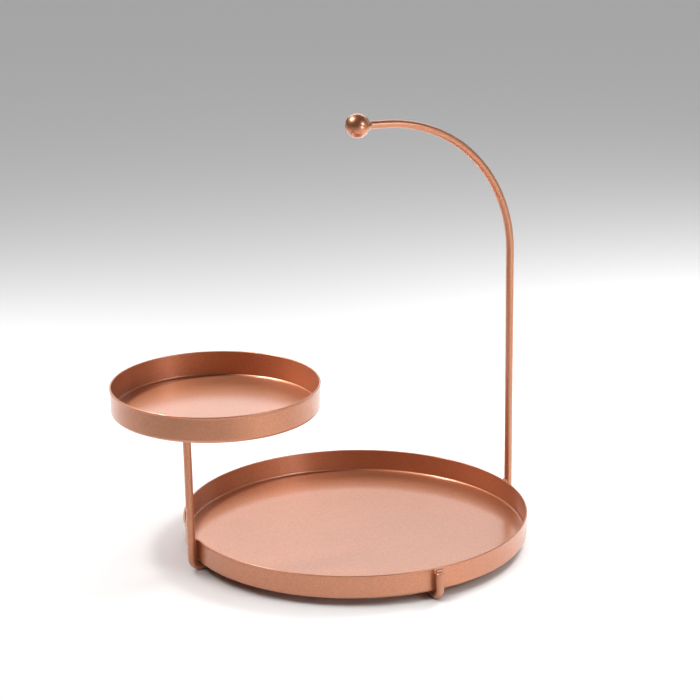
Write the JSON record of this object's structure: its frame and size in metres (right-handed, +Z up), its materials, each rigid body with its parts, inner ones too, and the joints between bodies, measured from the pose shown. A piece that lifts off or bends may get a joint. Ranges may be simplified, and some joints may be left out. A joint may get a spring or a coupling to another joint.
{
  "type": "tiered cake stand",
  "caption": "Two-tier round serving stand: a large rimmed tray, a smaller one raised on a side post, and a tall arched carrying handle with a ball end.",
  "frame": {"origin": "centre of the stand's outline on the table (bottom of the rods)", "axes": "+Z up; +X along the frame rod from the post to the carrying handle; the free upturned rod ends are at -Y and +Y"},
  "size_m": [0.3244, 0.275, 0.3278],
  "materials": {
    "tray_coating": "satin copper metallic powder coat with a fine speckle",
    "rod_coating": "satin copper metallic powder coat",
    "knob_coating": "semi-gloss copper metallic powder coat",
    "weld_coating": "copper powder coat over weld metal"
  },
  "bodies": {
    "root": {"base_tray": "tray_coating", "upper_tray": "tray_coating", "frame_rod": "rod_coating", "front_foot_rod": "rod_coating", "rear_foot_rod": "rod_coating", "ball_knob": "knob_coating", "knob_weld": "weld_coating", "handle_rim_weld": "weld_coating", "post_rim_weld": "weld_coating", "front_rim_weld": "weld_coating", "rear_rim_weld": "weld_coating", "frame_cross_weld": "weld_coating", "base_floor_welds": "weld_coating", "upper_floor_welds": "weld_coating"}
  },
  "joints": []
}
